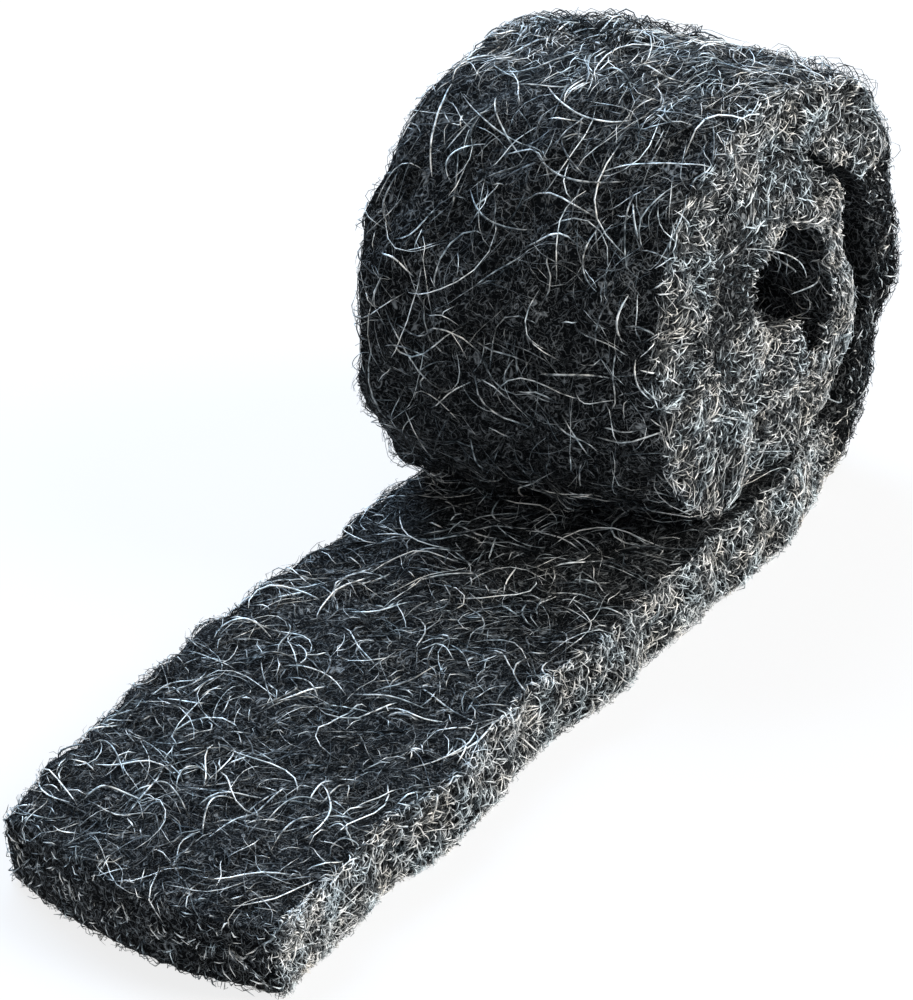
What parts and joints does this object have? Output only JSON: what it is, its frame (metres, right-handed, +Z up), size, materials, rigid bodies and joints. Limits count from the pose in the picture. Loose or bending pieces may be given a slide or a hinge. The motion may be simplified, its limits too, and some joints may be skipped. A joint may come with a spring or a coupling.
{
  "type": "steel wool roll",
  "caption": "Strip of dark, curly-fibred steel wool matting, wound loosely round an open core with its free end laid out flat.",
  "frame": {"origin": "on the surface it rests on, under the middle of its bounding box", "axes": "+X from the free end to the roll, +Y along the axis of the roll, +Z up"},
  "size_m": [0.3576, 0.115, 0.1503],
  "materials": {
    "steel_wool": "matted curly fibres"
  },
  "bodies": {
    "root": {"wool_mat": "steel_wool"}
  },
  "joints": []
}
